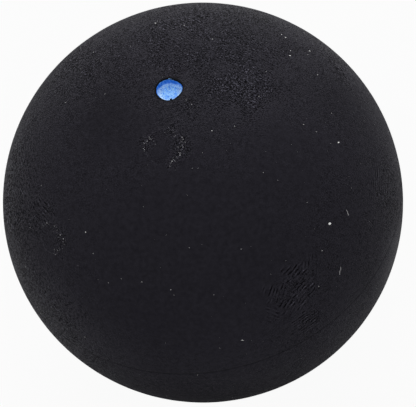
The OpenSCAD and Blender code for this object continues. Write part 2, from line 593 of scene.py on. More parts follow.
# Vent rings. A round vent of the mould leaves a fine broken ridge with a groove inside it. Each
# has its middle in photograph pixels, its radius and the ridge's width, in metres, and its strength.
VENT_RINGS = [
    ((164, 146), 0.00183, 0.00013, 0.55),
    ((51, 238), 0.00158, 0.00013, 0.55),
]
RING_WANDER = 0.00016
RING_WANDER_SIZE = 0.0006
GROOVE_OFFSET = 1.6
GROOVE_SHARE = 0.4
RING_BREAK_SIZE = 0.00019
RING_BREAK_STEP = (-0.1, 0.3)


def stroke_group():
    """Broken parallel strokes of a buffing wheel inside one round patch, as a height."""
    inputs = {
        "Place": (VECTOR, None),
        "Centre": (VECTOR, None),
        "Across": (VECTOR, None),
        "Along": (VECTOR, None),
        "Reach": (NUMBER, 0.003),
        "Spacing": (NUMBER, 0.0003),
        "Strength": (NUMBER, 1.0),
    }
    group, given, made = new_group("buffing_strokes", "ShaderNodeTree", inputs, {"Relief": NUMBER})
    place = given["Place"]
    spacing = given["Spacing"]
    away = vectors(group, "DISTANCE", place, given["Centre"])
    ragged = maths(group, "MULTIPLY_ADD", noise(group, place, RAGGED_SIZE), RAGGED_REACH, away)
    core = maths(group, "MULTIPLY", given["Reach"], STROKE_CORE_SHARE)
    inside = ramp(group, ragged, given["Reach"], core)
    across = maths(group, "DIVIDE", vectors(group, "DOT_PRODUCT", place, given["Across"]), spacing)
    along = maths(group, "DIVIDE", vectors(group, "DOT_PRODUCT", place, given["Along"]), spacing)
    bend_size = maths(group, "MULTIPLY", spacing, BEND_SPACINGS)
    bent = noise(group, place, bend_size, detail=2.0, seed=0.5)
    turn = maths(group, "MULTIPLY_ADD", bent, BEND_SHARE, across)
    wave = maths(group, "SINE", maths(group, "MULTIPLY", turn, math.tau))
    long_way = maths(group, "MULTIPLY", along, STROKE_SHORTNESS)
    stretched = put(group, "ShaderNodeCombineXYZ", {"X": across, "Y": long_way}).outputs[0]
    broken = ramp(group, noise(group, stretched, BREAK_SPACINGS, detail=2.0), *BREAK_STEP)
    height = maths(group, "MULTIPLY", maths(group, "MULTIPLY", wave, broken), inside)
    group.links.new(maths(group, "MULTIPLY", height, given["Strength"]), made["Relief"])
    return group


def vent_ring_group():
    """The broken edge that a round mould vent leaves: a fine ridge with a groove inside it."""
    inputs = {
        "Place": (VECTOR, None),
        "Centre": (VECTOR, None),
        "Radius": (NUMBER, 0.0018),
        "Width": (NUMBER, 0.00012),
        "Strength": (NUMBER, 1.0),
    }
    group, given, made = new_group("vent_ring", "ShaderNodeTree", inputs, {"Relief": NUMBER})
    place = given["Place"]
    width = given["Width"]
    away = vectors(group, "DISTANCE", place, given["Centre"])
    wander = noise(group, place, RING_WANDER_SIZE, seed=0.15)
    wandering = maths(group, "MULTIPLY_ADD", wander, RING_WANDER, away)
    off = maths(group, "SUBTRACT", wandering, given["Radius"])
    ridge = ramp(group, maths(group, "ABSOLUTE", off), width, 0.0)
    inside = maths(group, "MULTIPLY_ADD", width, GROOVE_OFFSET, off)
    groove = ramp(group, maths(group, "ABSOLUTE", inside), width, 0.0)
    gaps = noise(group, place, RING_BREAK_SIZE, detail=2.0, seed=0.25)
    broken = ramp(group, gaps, *RING_BREAK_STEP)
    height = maths(group, "MULTIPLY_ADD", groove, -GROOVE_SHARE, ridge)
    height = maths(group, "MULTIPLY", height, broken)
    group.links.new(maths(group, "MULTIPLY", height, given["Strength"]), made["Relief"])
    return group


tumbled_grain = grain_group()
buffing_strokes = stroke_group()
vent_ring = vent_ring_group()


def new_material(name):
    """A material with a Principled shader, and its tree, shader and object coordinates."""
    material = bpy.data.materials.new(name)
    material.use_nodes = True
    tree = material.node_tree
    shader = tree.nodes["Principled BSDF"]
    place = put(tree, "ShaderNodeTexCoord").outputs["Object"]
    return material, tree, shader, place


def mixed(tree, share, first, second):
    """A colour between two others."""
    node = put(tree, "ShaderNodeMix", data_type="RGBA")
    for socket, value in zip([node.inputs[0], node.inputs[6], node.inputs[7]], [share, first, second]):
        if isinstance(value, bpy.types.NodeSocket):
            tree.links.new(value, socket)
        else:
            socket.default_value = value
    return node.outputs[2]


def with_patches(tree, place, start, patches):
    """A value that is raised by its gain round each patch's middle."""
    value = start
    for middle_px, reach, gain in patches:
        away = vectors(tree, "DISTANCE", place, place_on_ball(middle_px))
        value = maths(tree, "MULTIPLY_ADD", ramp(tree, away, reach, 0.0), gain, value)
    return value


def roughened(tree, place):
    """How strong the fine grain is from place to place."""
    strength = PLAIN_STRENGTH
    for middle_px, reach, share in SMOOTH_PATCHES:
        away = vectors(tree, "DISTANCE", place, place_on_ball(middle_px))
        plain = ramp(tree, away, SMOOTH_CORE_SHARE * reach, reach)
        kept = maths(tree, "MULTIPLY_ADD", plain, 1.0 - share, share)
        strength = maths(tree, "MULTIPLY", kept, strength)
    return with_patches(tree, place, strength, ROUGH_PATCHES)


def rubber_material(name, pit, crest, patches=(), rings=()):
    """Tumbled black rubber, with buffed patches and vent rings where the lists name them."""
    material, tree, shader, place = new_material(name)
    outside = ramp(tree, vectors(tree, "DISTANCE", place, (0, 0, ball_r)), *LIP_REACH)
    strength = maths(tree, "MULTIPLY", roughened(tree, place), outside)
    feeds = {"Place": place, "Strength": strength}
    relief = put(tree, "ShaderNodeGroup", feeds, node_tree=tumbled_grain).outputs["Relief"]
    coarse = maths(tree, "MULTIPLY", with_patches(tree, place, 0.0, COARSE_PATCHES), outside)
    feeds = {"Place": place, "Strength": coarse, "Grain size": COARSE_GRAIN_SIZE}
    coarse_relief = put(tree, "ShaderNodeGroup", feeds, node_tree=tumbled_grain).outputs["Relief"]
    relief = maths(tree, "ADD", relief, coarse_relief)
    stains = noise(tree, place, STAIN_SIZE, seed=0.2)
    relief = maths(tree, "MULTIPLY_ADD", stains, STAIN_SHARE, relief)
    # Painted light and shade from the listed patches, added to how pale the crests are.
    painted_light_and_shade = with_patches(tree, place, 0.0, PAINTED_LIGHT_AND_SHADE_PATCHES)
    # Strong grain is painted paler, as light that makes up for its bump's shade.
    painted_light_shift = maths(tree, "MULTIPLY_ADD", strength, GRAIN_PAINTED_LIGHT, painted_light_and_shade)
    for middle_px, along_px, reach, spacing, stroke_strength in patches:
        middle = place_on_ball(middle_px)
        along = (place_on_ball(along_px) - middle).normalized()
        feeds = {
            "Place": place,
            "Centre": middle,
            "Across": middle.normalized().cross(along),
            "Along": along,
            "Reach": reach,
            "Spacing": spacing,
            "Strength": stroke_strength,
        }
        strokes = put(tree, "ShaderNodeGroup", feeds, node_tree=buffing_strokes)
        relief = maths(tree, "ADD", relief, strokes.outputs["Relief"])
    for centre_px, radius, width, ring_strength in rings:
        feeds = {
            "Place": place,
            "Centre": place_on_ball(centre_px),
            "Radius": radius,
            "Width": width,
            "Strength": ring_strength,
        }
        ring = put(tree, "ShaderNodeGroup", feeds, node_tree=vent_ring)
        relief = maths(tree, "ADD", relief, ring.outputs["Relief"])
    rubbed = ramp(tree, maths(tree, "ADD", relief, painted_light_shift), -GRAIN_SPAN, GRAIN_SPAN)
    # Painted glints: the highest crests are coloured far paler, as highlights.
    painted_glint = ramp(tree, relief, PAINTED_GLINT_FROM, PAINTED_GLINT_FULL)
    colour = mixed(tree, painted_glint, mixed(tree, rubbed, pit, crest), RUBBER_PAINTED_GLINT)
    # Round the dimple the colour turns near black: partly unworn rubber, partly painted shade of the
    # recess.
    colour = mixed(tree, outside, RUBBER_MOULDED_AND_SHADED, colour)
    tree.links.new(colour, shader.inputs["Base Color"])
    cloud = noise(tree, place, CLOUD_SIZE, detail=3.0)
    rough = maths(tree, "MULTIPLY_ADD", cloud, CLOUD_ROUGH, RUBBER_ROUGH + CREST_POLISH / 2)
    rough = maths(tree, "MULTIPLY_ADD", rubbed, -CREST_POLISH, rough)
    tree.links.new(rough, shader.inputs["Roughness"])
    feeds = {"Height": maths(tree, "MULTIPLY", relief, GRAIN_DEPTH), "Distance": 1.0}
    tree.links.new(put(tree, "ShaderNodeBump", feeds).outputs[0], shader.inputs["Normal"])
    shader.inputs["Specular IOR Level"].default_value = RUBBER_GLOSS
    return material


tumbled_rubber = rubber_material("tumbled_rubber", RUBBER_PIT, RUBBER_CREST, STROKE_PATCHES, VENT_RINGS)

dimple_points, lip_end = dimple_section()
dotted_section = dimple_points + outside_section(lip_end) + rim_section()
dotted_rubber = turned("dotted_half_rubber", dotted_section, tumbled_rubber)
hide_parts("dotted_half_shell")


# Plain half-shell. The other moulded cup of the same black rubber, without a dimple. It is buffed
# on its rim too and cemented below the first, and only a sliver of it shows past the seam.
plain_section = outside_section(0) + rim_section()
plain_rubber = turned("plain_half_rubber", plain_section, tumbled_rubber, upside_down=True)
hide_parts("plain_half_shell")


# Seam cement. Natural rubber solution, dried black, that bonds the two rims. It is pressed out at
# both edges: inside it stands as a bead in the cavity, and outside it fills the bevels, where
# tumbling wears it nearly flush, so that the seam shows only as a fine line that comes and goes.
CEMENT_PIT = (0.0020, 0.0018, 0.0030, 1)
CEMENT_CREST = (0.0180, 0.0170, 0.0225, 1)
BEAD_R = 0.0005
BEAD_SPACING = 0.0001
CEMENT_BELOW = 0.000008
CEMENT_SPREAD = 0.9
CEMENT_SUNK = 0.000003
CEMENT_RIPPLE = 0.00001
CEMENT_RIPPLE_SIZE = 0.0016
CEMENT_SKIN_STEPS = 3
CEMENT_TURNS = 1440


def cement_section():
    """The bead in the cavity, the film between the rims and the skin over the bevels."""
    outer, inner = bevel_section()
    spread = inner.lerp(outer, CEMENT_SPREAD) - Vector((CEMENT_SUNK, 0))
    crown = Vector((ball_r - CEMENT_BELOW, 0))
    bead_foot = Vector((CAVITY_R - BEAD_R**2 / (2 * CAVITY_R), BEAD_R))
    film_foot = Vector((math.sqrt(CAVITY_R**2 - rim_z**2), rim_z))
    upper = straight(bead_foot, film_foot, 1)
    upper += straight(film_foot, inner, 2)
    upper += straight(inner, spread, 1)
    upper += straight(spread, crown, CEMENT_SKIN_STEPS)
    lower = [Vector((p.x, -p.y)) for p in reversed(upper)]
    bead = arc(Vector((CAVITY_R, 0)), BEAD_R, math.pi, math.tau, BEAD_SPACING)[1:]
    return upper + [crown] + lower + bead + [bead_foot]


cement_rubber = rubber_material("cement_rubber", CEMENT_PIT, CEMENT_CREST)
cement = turned(
    "seam_cement_skin",
    cement_section(),
    cement_rubber,
    turns=CEMENT_TURNS,
    ripple=CEMENT_RIPPLE,
    ripple_size=CEMENT_RIPPLE_SIZE,
)
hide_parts("seam_cement")


# Speed dot. A drop of light blue paint that was laid in the dimple: it covers the floor, rounds
# the corner and thins out as it climbs the wall, and it dried with a pebbled, mottled skin.
PAINT_T = 0.00014
PAINT_WALL_T = 0.00006
PAINT_CORNER_R = 0.00012
PAINT_SUNK = 0.00004
PAINT_SPACING = 0.00004
PAINT_RIPPLE = 0.000016
PAINT_RIPPLE_SIZE = 0.00032
PAINT_TURNS = 240
PAINT_WALL_STEPS = 6
PAINT_EDGE_STEPS = 2
PAINT_HIDDEN_STEPS = 4
PAINT_MID = (0.15, 0.42, 1.00, 1)
PAINT_PALE = (0.32, 0.62, 1.00, 1)
# Painted light: a pale band round the rim of the floor, strongest on the near side where the lamp falls
# into the dimple.
PAINT_RIM_PAINTED_LIGHT = (0.58, 0.80, 1.00, 1)
# Painted shade: the wall colour is deep blue, partly as thin paint over black rubber and partly as the
# shade inside the cup.
PAINT_THIN_AND_SHADED = (0.010, 0.14, 0.62, 1)
PAINT_PIT = (0.02, 0.17, 0.72, 1)
# Painted highlight: the edge colour is greyer and paler, partly as paint thinning over the rubber and
# partly as a highlight on the edge.
PAINT_EDGE_THIN_AND_LIT = (0.20, 0.42, 0.68, 1)
MOTTLE_SIZE = 0.00020
MOTTLE_STEP = (-0.3, 0.3)
MOTTLE_HEIGHT = 0.00001
MOTTLE_ROUGH = (0.5, -0.1)
PIT_SIZE = 0.00013
PIT_STEP = (0.08, 0.34)
PIT_SHARE = 0.8
STREAK_SIZE = 0.00024
STREAK_STEP = (-0.1, 0.4)
STREAK_SHARE = 0.4
RIM_LIGHT_BAND = (0.00030, 0.00004)
RIM_LIGHT_SHARE = (0.3, 0.65)
RIM_LIGHT_SIDE_PX = (167, 104)
RIM_LIGHT_REACH = (0.0031, 0.0011)
CLIMB_WANDER = 0.00005
CLIMB_WANDER_SIZE = 0.0003
CLIMB_CORNERS = 1.7
EDGE_BAND = (0.00013, 0.00004)
EDGE_THIN_AND_LIT_SIZE = 0.0005
EDGE_THIN_AND_LIT_STEP = (-0.3, 0.1)
EDGE_SHARE = 0.8
# On these two sides the wall's painted shade begins higher, so it is narrower there.
HIGH_SIDES_PX = [(155, 92), (183, 85)]
HIGH_REACH = (0.0013, 0.0003)
HIGH_RISE = 0.00024
PAINT_GLOSS = 0.25

paint_floor_z = dimple_floor_z + PAINT_T
paint_floor_r = dimple_corners()[0].x + PAINT_T * math.tan(DIMPLE_DRAFT) - PAINT_WALL_T


def paint_section():
    """The cup of paint, whose underside and edge lie a little inside the rubber."""
    corner, wall_top = dimple_corners()[:2]
    wall_in = wall_directions()[1]
    wall_up = (wall_top - corner).normalized()
    edge = corner + wall_up * (paint_high.z - dimple_floor_z) / wall_up.y
    inner_corner = corner + wall_up * PAINT_T / wall_up.y - Vector((PAINT_WALL_T, 0))
    inner_up = (edge - inner_corner).normalized()
    slope = math.acos(-inner_up.x)
    reach = PAINT_CORNER_R / math.tan(slope / 2)
    fillet_centre = inner_corner + Vector((-reach, PAINT_CORNER_R))
    floor_steps = round((inner_corner.x - reach) / PAINT_SPACING)
    wall_start = inner_corner + reach * inner_up
    points = straight(Vector((0, paint_floor_z)), inner_corner - Vector((reach, 0)), floor_steps)
    points += arc(fillet_centre, PAINT_CORNER_R, math.pi, slope, PAINT_SPACING / 2)
    points += straight(wall_start, edge, PAINT_WALL_STEPS)
    sunk_edge = edge + PAINT_SUNK * wall_in
    sunk_corner = corner + PAINT_SUNK * (wall_in - Vector((0, 1)))
    points += straight(edge, sunk_edge, PAINT_EDGE_STEPS)
    points += straight(sunk_edge, sunk_corner, PAINT_HIDDEN_STEPS)
    points += straight(sunk_corner, Vector((0, sunk_corner.y)), DIMPLE_STEPS)
    points.append(Vector((0, sunk_corner.y)))
    return points


def paint_material():
    """Satin blue paint: mottled and pitted on the floor, painted paler round the floor's rim as light
    falling in, most on one side; deep blue on the wall, partly thin paint and partly painted shade;
    and greyer and paler along its feathered edge, partly thin paint and partly a painted highlight."""
    material, tree, shader, place = new_material("dot_paint")
    mottle = ramp(tree, noise(tree, place, MOTTLE_SIZE), *MOTTLE_STEP)
    colour = mixed(tree, mottle, PAINT_MID, PAINT_PALE)
    from_axis = vectors(tree, "LENGTH", vectors(tree, "MULTIPLY", place, (1, 1, 0)))
    # Painted light round the floor's rim, strongest on one side.
    band_start, band_full = [paint_floor_r - inside for inside in RIM_LIGHT_BAND]
    rim_light = ramp(tree, from_axis, band_start, band_full)
    near = ramp(tree, vectors(tree, "DISTANCE", place, place_on_ball(RIM_LIGHT_SIDE_PX)), *RIM_LIGHT_REACH)
    far_share, near_gain = RIM_LIGHT_SHARE
    near = maths(tree, "MULTIPLY_ADD", near, near_gain, far_share)
    colour = mixed(tree, maths(tree, "MULTIPLY", rim_light, near), colour, PAINT_RIM_PAINTED_LIGHT)
    pit = ramp(tree, noise(tree, place, PIT_SIZE, seed=0.6), *PIT_STEP)
    colour = mixed(tree, maths(tree, "MULTIPLY", pit, PIT_SHARE), colour, PAINT_PIT)
    height = put(tree, "ShaderNodeSeparateXYZ", {0: place}).outputs["Z"]
    climb = maths(tree, "SUBTRACT", height, paint_floor_z)
    wander = noise(tree, place, CLIMB_WANDER_SIZE)
    climb = maths(tree, "MULTIPLY_ADD", wander, CLIMB_WANDER, climb)
    for side_px in HIGH_SIDES_PX:
        high = ramp(tree, vectors(tree, "DISTANCE", place, place_on_ball(side_px)), *HIGH_REACH)
        climb = maths(tree, "MULTIPLY_ADD", high, -HIGH_RISE, climb)
    # Painted shade: up the wall the colour turns deep blue.
    on_wall = ramp(tree, climb, 0.0, CLIMB_CORNERS * PAINT_CORNER_R)
    streak = ramp(tree, noise(tree, place, STREAK_SIZE, seed=0.3), *STREAK_STEP)
    streak = maths(tree, "MULTIPLY", streak, STREAK_SHARE)
    wall_colour = mixed(tree, streak, PAINT_THIN_AND_SHADED, PAINT_MID)
    colour = mixed(tree, on_wall, colour, wall_colour)
    # Along the feathered edge the colour turns greyer and paler: thin paint and a painted highlight.
    paint_top = paint_high.z - paint_floor_z
    edge_start, edge_full = [paint_top - below for below in EDGE_BAND]
    thin_and_lit = ramp(tree, noise(tree, place, EDGE_THIN_AND_LIT_SIZE, seed=0.9), *EDGE_THIN_AND_LIT_STEP)
    edge = maths(tree, "MULTIPLY", ramp(tree, climb, edge_start, edge_full), thin_and_lit)
    colour = mixed(tree, maths(tree, "MULTIPLY", edge, EDGE_SHARE), colour, PAINT_EDGE_THIN_AND_LIT)
    tree.links.new(colour, shader.inputs["Base Color"])
    plain_rough, mottle_gain = MOTTLE_ROUGH
    rough = maths(tree, "MULTIPLY_ADD", mottle, mottle_gain, plain_rough)
    tree.links.new(rough, shader.inputs["Roughness"])
    feeds = {"Height": maths(tree, "MULTIPLY", mottle, MOTTLE_HEIGHT), "Distance": 1.0}
    tree.links.new(put(tree, "ShaderNodeBump", feeds).outputs[0], shader.inputs["Normal"])
    shader.inputs["Specular IOR Level"].default_value = PAINT_GLOSS
    return material


dot_paint = paint_material()
paint = turned(
    "speed_dot_paint",
    paint_section(),
    dot_paint,
    turns=PAINT_TURNS,
    ripple=PAINT_RIPPLE,
    ripple_size=PAINT_RIPPLE_SIZE,
)
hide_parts("speed_dot")


# Torn nibs. Ragged little lumps of the shell's own rubber, coloured pale grey as painted highlights,
# that stand round the vent rings and along a short arc where the moulding was pulled from its vents
# and never quite buffed off. Faint ones lie along lines, and the strong ones are listed by radius in
# metres.
# Painted highlights: both nib colours are far paler than the rubber.
NIB_HIGHLIGHT_PALE = (0.86, 0.85, 0.87, 1)
NIB_HIGHLIGHT_GREY = (0.24, 0.235, 0.25, 1)
NIB_MOTTLE_SIZE = 0.00012
NIB_MOTTLE_STEP = (-0.2, 0.3)
NIB_ROUGH = 0.85
NIB_GLOSS = 0.3
LUMP_STRETCH = (0.75, 1.3)
TORN_SIZE_SHARE = 1.4
GLOBE_DETAIL = 6
NIB_RARITY = 2.0
STREWN_RARITY = 3.0
STRONG_NIBS_PX = {
    0.000048: [(180, 155), (149, 137)],
    0.000042: [(172, 161)],
    0.000038: [(182, 137), (183, 139), (147, 141), (180, 153), (60, 235), (63, 239)],
    0.000033: [(150, 139), (146, 143), (144, 151), (185, 142), (182, 145), (177, 157), (54, 226)],
    0.000028: [(174, 132), (181, 141), (183, 147), (178, 147), (175, 161), (57, 230), (42, 224)],
    0.000022: [(172, 130), (170, 166), (56, 227), (65, 241), (46, 223), (63, 244), (57, 250)],
}
FAINT_NIBS_PX = [
    [(150, 139), (153, 142), (154, 144)],
    [(176, 136), (182, 141), (182, 147), (178, 154)],
    [(146, 139), (144, 146), (145, 151)],
    [(177, 158), (172, 161), (170, 167)],
    [(159, 131), (170, 130), (175, 132)],
    [(184, 97), (189, 102), (191, 108), (194, 113)],
    [(42, 224), (47, 223), (51, 229), (57, 233), (59, 239)],
    [(64, 241), (63, 246), (57, 250), (53, 254)],
]


def settled(tree, points):
    """Points moved onto the ball and its relief."""
    place = put(tree, "GeometryNodeInputPosition").outputs[0]
    on_ball = vectors(tree, "SCALE", vectors(tree, "NORMALIZE", place), scale=ball_r)
    feeds = {"Geometry": points, "Position": on_ball}
    return relieved(tree, put(tree, "GeometryNodeSetPosition", feeds).outputs[0])


def random_number(tree, low, high, seed):
    """A number between low and high that differs from point to point."""
    node = put(tree, "FunctionNodeRandomValue", {2: low, 3: high, 8: seed}, data_type="FLOAT")
    return node.outputs[1]


def lump_group():
    """Ragged lumps on points of the ball, each as big as its point's size says."""
    inputs = {
        "Points": (MESH, None),
        "Flatness": (NUMBER, 0.6),
        "Sunk": (NUMBER, 0.3),
        "Ragged": (NUMBER, 1.0),
        "Detail": (COUNT, 2),
        "Seed": (COUNT, 0),
    }
    group, given, made = new_group("lumps_on_points", "GeometryNodeTree", inputs, {"Lumps": MESH})
    points = settled(group, given["Points"])
    size = put(group, "GeometryNodeInputNamedAttribute", {"Name": "size"}, data_type="FLOAT").outputs[0]
    ball = put(group, "GeometryNodeMeshIcoSphere", {"Radius": 1.0, "Subdivisions": given["Detail"]})
    place = put(group, "GeometryNodeInputPosition").outputs[0]
    rotation = put(group, "FunctionNodeAlignRotationToVector", {"Vector": place}, axis="Z").outputs[0]
    seed = given["Seed"]
    wide = random_number(group, *LUMP_STRETCH, seed)
    deep = random_number(group, *LUMP_STRETCH, maths(group, "ADD", seed, 1.0))
    shape = put(group, "ShaderNodeCombineXYZ", {"X": wide, "Y": deep, "Z": given["Flatness"]}).outputs[0]
    feeds = {
        "Points": points,
        "Instance": ball.outputs["Mesh"],
        "Rotation": rotation,
        "Scale": vectors(group, "SCALE", shape, scale=size),
    }
    lumps = put(group, "GeometryNodeInstanceOnPoints", feeds).outputs[0]
    lumps = put(group, "GeometryNodeRealizeInstances", {"Geometry": lumps}).outputs[0]
    torn_size = maths(group, "MULTIPLY", size, TORN_SIZE_SHARE)
    torn = jumble(group, place, torn_size, detail=2.0)
    torn = vectors(group, "SCALE", torn, scale=maths(group, "MULTIPLY", size, given["Ragged"]))
    sunk = maths(group, "MULTIPLY", maths(group, "MULTIPLY", size, given["Sunk"]), -1.0)
    lower = vectors(group, "SCALE", vectors(group, "NORMALIZE", place), scale=sunk)
    offset = vectors(group, "ADD", torn, lower)
    lumps = put(group, "GeometryNodeSetPosition", {"Geometry": lumps, "Offset": offset}).outputs[0]
    group.links.new(lumps, made["Lumps"])
    return group


def sized(tree, points, size):
    """Points that carry a size each."""
    feeds = {"Geometry": points, "Name": "size", "Value": size}
    return put(tree, "GeometryNodeStoreNamedAttribute", feeds, data_type="FLOAT").outputs[0]


lumps_on_points = lump_group()


def nib_tree():
    """Strews torn nibs along lines on the ball."""
    inputs = {
        "Lines": (MESH, None),
        "Spacing": (NUMBER, 0.00014),
        "Stray": (NUMBER, 0.00018),
        "Kept": (NUMBER, 0.8),
        "Smallest": (NUMBER, 0.000012),
        "Largest": (NUMBER, 0.00003),
        "Seed": (COUNT, 1),
        "Material": (MATERIAL, None),
    }
    tree, given, made = new_group("nibs_along_lines", "GeometryNodeTree", inputs, {"Skin": MESH})
    seed = given["Seed"]
    line = put(tree, "GeometryNodeMeshToCurve", {"Mesh": given["Lines"]}).outputs[0]
    feeds = {"Curve": line, "Length": given["Spacing"]}
    points = put(tree, "GeometryNodeCurveToPoints", feeds, mode="LENGTH").outputs["Points"]
    left_out = maths(tree, "GREATER_THAN", random_number(tree, 0.0, 1.0, seed), given["Kept"])
    feeds = {"Geometry": points, "Selection": left_out}
    points = put(tree, "GeometryNodeDeleteGeometry", feeds, domain="POINT").outputs[0]
    feeds = {0: (-1, -1, -1), 1: (1, 1, 1), 8: maths(tree, "ADD", seed, 3.0)}
    stray = put(tree, "FunctionNodeRandomValue", feeds, data_type="FLOAT_VECTOR").outputs[0]
    feeds = {"Geometry": points, "Offset": vectors(tree, "SCALE", stray, scale=given["Stray"])}
    points = put(tree, "GeometryNodeSetPosition", feeds).outputs[0]
    chance = random_number(tree, 0.0, 1.0, maths(tree, "ADD", seed, 5.0))
    span = maths(tree, "SUBTRACT", given["Largest"], given["Smallest"])
    chance = maths(tree, "POWER", chance, NIB_RARITY)
    size = maths(tree, "MULTIPLY_ADD", chance, span, given["Smallest"])
    feeds = {"Points": sized(tree, points, size), "Seed": seed}
    lumps = put(tree, "GeometryNodeGroup", feeds, node_tree=lumps_on_points).outputs[0]
    finished(tree, lumps, given["Material"], made)
    return tree


def chained(lines_px):
    """Points on the ball along lines of pixels, and the edges that join each line's points."""
    points = []
    edges = []
    for line in lines_px:
        start = len(points)
        points += [place_on_ball(pixel) for pixel in line]
        edges += [(i, i + 1) for i in range(start, len(points) - 1)]
    return points, edges


def nib_material():
    """Torn rubber, coloured pale grey as painted highlights, mottled between two greys."""
    material, tree, shader, place = new_material("torn_rubber")
    nib_mottle = ramp(tree, noise(tree, place, NIB_MOTTLE_SIZE, detail=2.0), *NIB_MOTTLE_STEP)
    tree.links.new(mixed(tree, nib_mottle, NIB_HIGHLIGHT_GREY, NIB_HIGHLIGHT_PALE), shader.inputs["Base Color"])
    shader.inputs["Roughness"].default_value = NIB_ROUGH
    shader.inputs["Specular IOR Level"].default_value = NIB_GLOSS
    return material


def strewing_tree():
    """Lumps at chosen places on the ball, and more of them strewn over all of it."""
    inputs = {
        "Places": (MESH, None),
        "Strewn per area": (NUMBER, 0.0),
        "Smallest": (NUMBER, 0.00001),
        "Largest": (NUMBER, 0.00003),
        "Flatness": (NUMBER, 0.6),
        "Sunk": (NUMBER, 0.3),
        "Detail": (COUNT, 2),
        "Seed": (COUNT, 1),
        "Material": (MATERIAL, None),
    }
    tree, given, made = new_group("lumps_strewn", "GeometryNodeTree", inputs, {"Skin": MESH})
    seed = given["Seed"]
    feeds = {"Radius": ball_r, "Subdivisions": GLOBE_DETAIL}
    globe = put(tree, "GeometryNodeMeshIcoSphere", feeds).outputs["Mesh"]
    feeds = {"Mesh": globe, "Density": given["Strewn per area"], "Seed": seed}
    points = put(tree, "GeometryNodeDistributePointsOnFaces", feeds).outputs["Points"]
    place = put(tree, "GeometryNodeInputPosition").outputs[0]
    from_dot = vectors(tree, "DISTANCE", place, (0, 0, ball_r))
    in_dimple = maths(tree, "LESS_THAN", from_dot, LIP_REACH[0])
    feeds = {"Geometry": points, "Selection": in_dimple}
    points = put(tree, "GeometryNodeDeleteGeometry", feeds, domain="POINT").outputs[0]
    chance = maths(tree, "POWER", random_number(tree, 0.0, 1.0, seed), STREWN_RARITY)
    span = maths(tree, "SUBTRACT", given["Largest"], given["Smallest"])
    strewn = sized(tree, points, maths(tree, "MULTIPLY_ADD", chance, span, given["Smallest"]))
    chosen = put(tree, "GeometryNodeMeshToPoints", {"Mesh": given["Places"]}).outputs[0]
    join = put(tree, "GeometryNodeJoinGeometry")
    tree.links.new(chosen, join.inputs[0])
    tree.links.new(strewn, join.inputs[0])
    feeds = {
        "Points": join.outputs[0],
        "Flatness": given["Flatness"],
        "Sunk": given["Sunk"],
        "Detail": given["Detail"],
        "Seed": seed,
    }
    lumps = put(tree, "GeometryNodeGroup", feeds, node_tree=lumps_on_points).outputs[0]
    finished(tree, lumps, given["Material"], made)
    return tree


def strewn(name, chosen, material, **values):
    """A piece of lumps: those chosen by radius and pixel, and any strewn over the ball."""
    places = [place_on_ball(pixel) for pixels in chosen.values() for pixel in pixels]
    sizes = [radius for radius, pixels in chosen.items() for pixel in pixels]
    return grown(name, places, [], lumps_strewn, sizes=sizes, material=material, **values)


lumps_strewn = strewing_tree()
torn_rubber = nib_material()
strong_nibs = strewn("torn_nibs", STRONG_NIBS_PX, torn_rubber, flatness=0.9, sunk=0.2, seed=4)
nibs_along_lines = nib_tree()
nib_points, nib_edges = chained(FAINT_NIBS_PX)
faint_nibs = grown("faint_nibs", nib_points, nib_edges, nibs_along_lines, seed=9, material=torn_rubber)


# Crumb and spatter. A crumb of rubber, in two lumps, lies across the lip of the dimple and over
# the edge of the paint, and three flecks of the paint landed at the mouth as the dot was filled.
CRUMBS_PX = {0.00013: [(171, 99)], 0.00010: [(172, 101)]}
SPATTER_PX = {0.00005: [(169, 78), (172, 99)], 0.00003: [(171, 78)]}

crumbs = strewn("rubber_crumbs", CRUMBS_PX, tumbled_rubber, flatness=0.7, sunk=0.7, detail=3, seed=2)
spatter = strewn("paint_spatter", SPATTER_PX, dot_paint, flatness=0.5, sunk=0.4, detail=3, seed=3)


# Dust. Grains of the white powder that keeps the rubber from sticking, caught in the matt grain.
# Those that stand out are listed by radius in metres, at places measured in the photograph, and
# finer ones are strewn over the whole ball.
GRAINS_PX = {
    0.00018: [(330.1, 223.6)],
    0.00012: [(338.9, 142.3)],
    0.00009: [(285.9, 37.0), (290.2, 55.2), (310.0, 50.6)],
    0.00008: [(85.3, 232.3), (281.9, 34.0), (155.4, 22.6), (25.1, 267.1)],
    0.00006: [(242.3, 340.6), (318.0, 74.3), (212.5, 38.4), (184.3, 24.6), (93.1, 51.8)],
    0.00005: [(212.0, 130.5), (304.0, 124.3), (84.6, 337.4), (308.2, 54.4), (290.8, 50.3)],
    0.00004: [(307.5, 202.5), (67, 329), (157.5, 20.5), (197.5, 375.5), (263.5, 172.5)],
    0.00002: [(228.5, 129.5), (202.5, 152.5), (343.5, 139.5), (325.5, 122.5), (77.5, 265.5)],
}
STREWN_PER_AREA = 90000
STREWN_LARGEST = 0.00004
DUST_GREY = (0.80, 0.80, 0.80, 1)
DUST_WHITE = (0.95, 0.95, 0.94, 1)
DUST_CLOUD_SIZE = 0.00005
DUST_CLOUD_STEP = (-0.4, 0.4)
DUST_ROUGH = 0.95


def dust_material():
    """Chalky white powder, a little grey from the rubber."""
    material, tree, shader, place = new_material("chalk_dust")
    clean = ramp(tree, noise(tree, place, DUST_CLOUD_SIZE), *DUST_CLOUD_STEP)
    tree.links.new(mixed(tree, clean, DUST_GREY, DUST_WHITE), shader.inputs["Base Color"])
    shader.inputs["Roughness"].default_value = DUST_ROUGH
    return material


chalk_dust = dust_material()
strewn(
    "chalk_grains",
    GRAINS_PX,
    chalk_dust,
    strewn_per_area=STREWN_PER_AREA,
    largest=STREWN_LARGEST,
    detail=1,
    seed=7,
)


